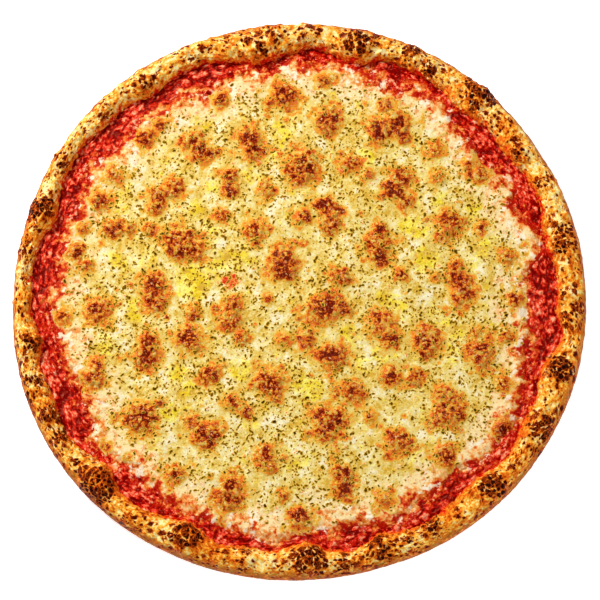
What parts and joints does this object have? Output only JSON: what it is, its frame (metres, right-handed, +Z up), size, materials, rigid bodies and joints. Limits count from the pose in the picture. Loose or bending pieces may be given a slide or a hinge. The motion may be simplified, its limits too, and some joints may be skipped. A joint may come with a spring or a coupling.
{
  "type": "garlic pizza",
  "caption": "Whole round garlic pizza: puffed, charred crust rim, a ring of tomato sauce, and melted cheese with browned blisters and dried herbs.",
  "frame": {"origin": "middle of the flat underside, on the surface the pizza rests on", "axes": "+Z up through the pizza; +X to the right and +Y to the far side as the picture shows it"},
  "size_m": [0.2975, 0.2995, 0.0178],
  "materials": {
    "crust": "baked dough, golden with brown and black spots",
    "tomato_sauce": "wet cooked tomato, deep red",
    "cheese": "melted cheese, pale yellow with orange and brown blisters"
  },
  "bodies": {
    "root": {"crust": "crust", "tomato_sauce": "tomato_sauce", "cheese": "cheese"}
  },
  "joints": []
}
